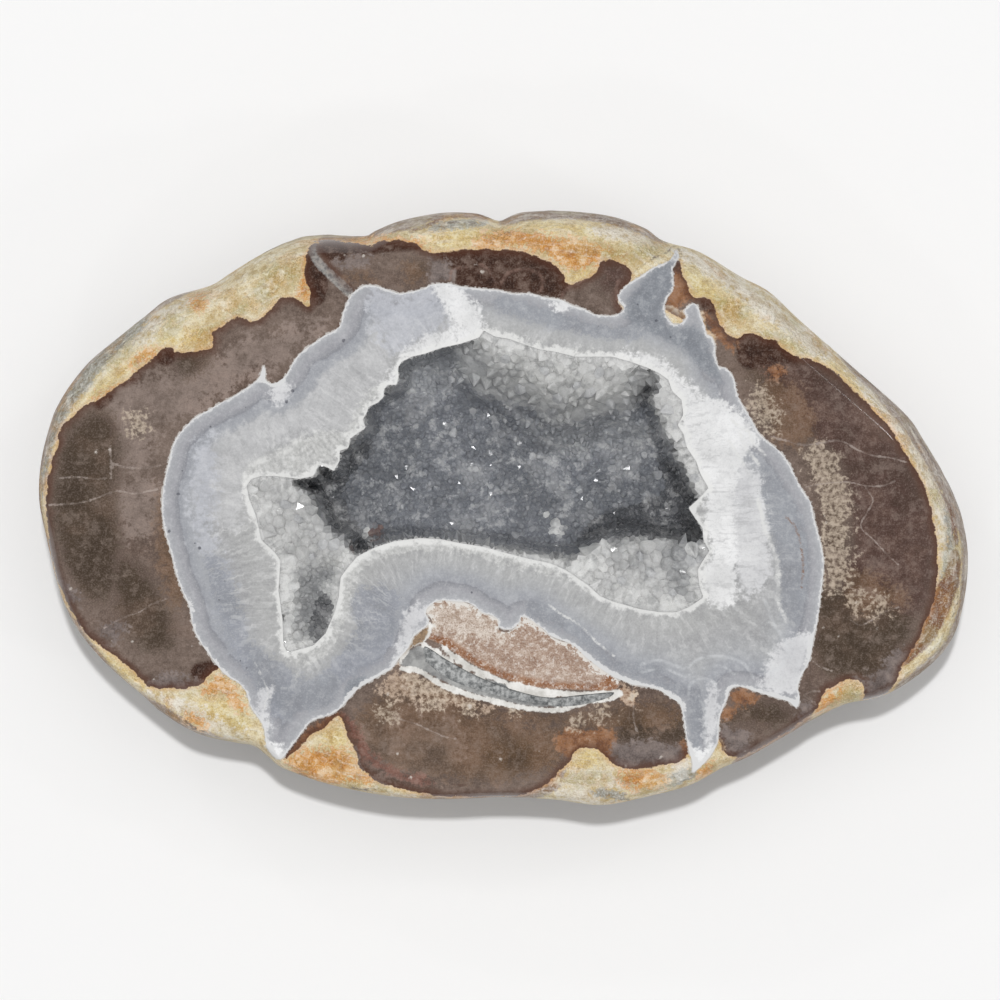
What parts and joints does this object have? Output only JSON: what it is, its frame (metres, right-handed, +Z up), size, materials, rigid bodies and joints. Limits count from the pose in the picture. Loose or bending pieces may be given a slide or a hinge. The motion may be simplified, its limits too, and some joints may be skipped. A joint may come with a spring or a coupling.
{
  "type": "druzy agate geode half",
  "caption": "Sawn and polished nodule half: brown host rock, grey agate and quartz round a hollow lined with quartz crystals.",
  "frame": {"origin": "on the surface that the stone rests on, under the middle of its outline", "axes": "+X along the stone's length, +Y across it, +Z up out of the sawn face"},
  "size_m": [0.1, 0.064, 0.036],
  "materials": {
    "polished_stone": "polished sawn face, natural skin behind it",
    "quartz_crystals": "bright crystal faces"
  },
  "bodies": {
    "root": {"geode_stone": "polished_stone", "druzy_crust": "quartz_crystals"}
  },
  "joints": []
}
